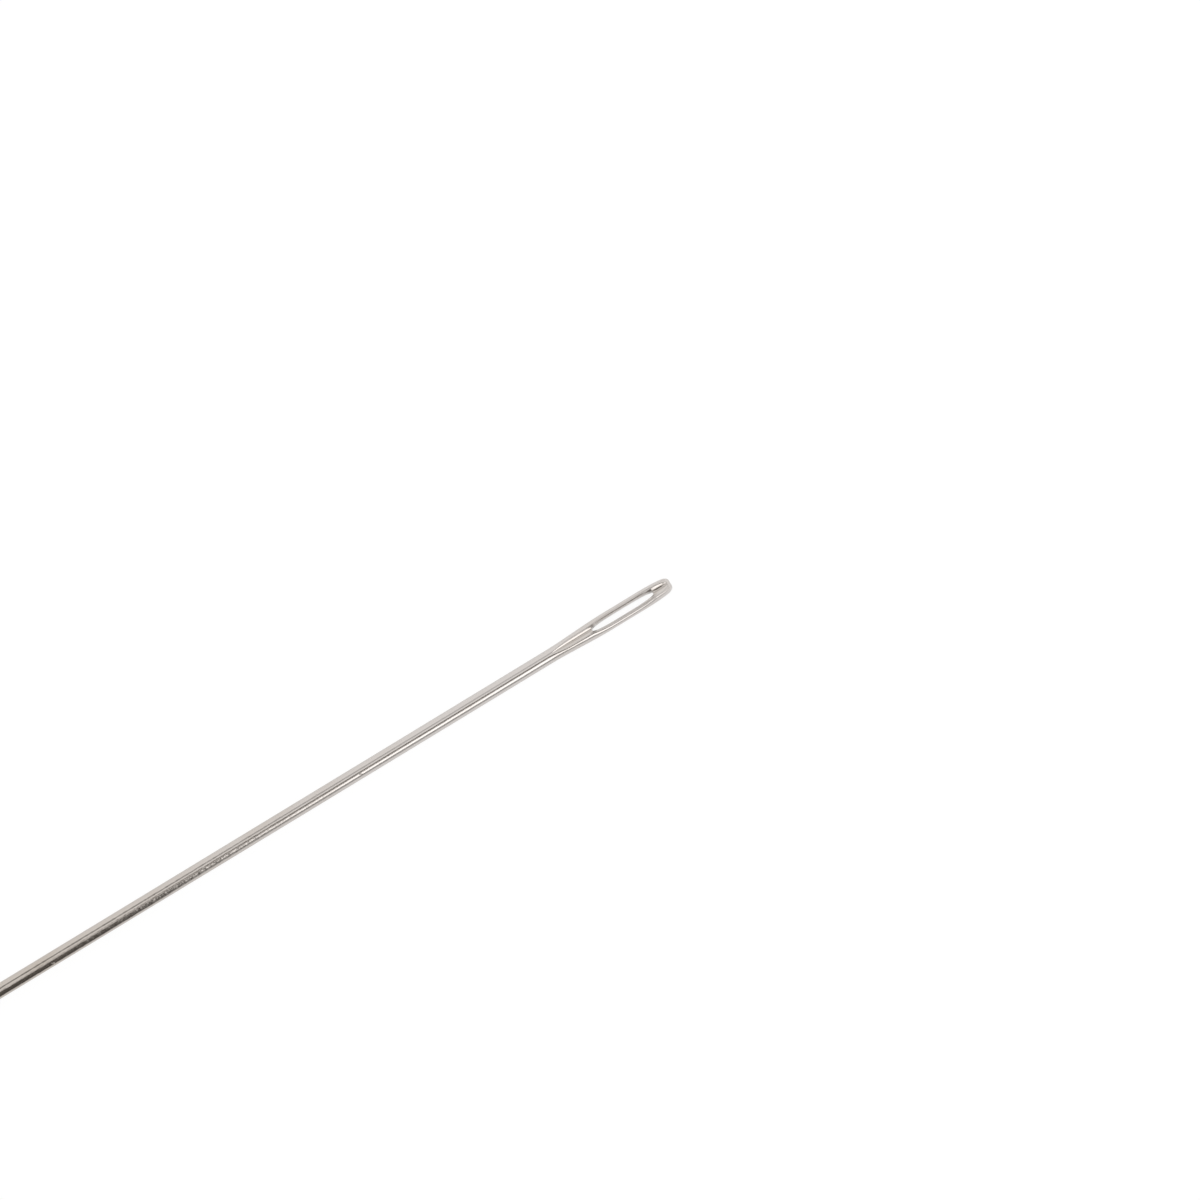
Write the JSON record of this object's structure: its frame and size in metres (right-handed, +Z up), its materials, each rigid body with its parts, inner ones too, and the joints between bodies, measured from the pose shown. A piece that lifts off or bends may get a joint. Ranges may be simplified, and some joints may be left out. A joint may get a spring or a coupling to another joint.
{
  "type": "tatting needle",
  "caption": "Long round needle of nickel-plated steel with a widened, grooved head, a long slot-shaped eye and a blunt point.",
  "frame": {"origin": "on the surface the needle lies on, under the middle of its length", "axes": "+X along the needle toward its eye end, +Z up and along the eye's axis"},
  "size_m": [0.13, 0.0022, 0.0016],
  "materials": {
    "nickel": "polished"
  },
  "bodies": {
    "root": {"needle": "nickel"}
  },
  "joints": []
}
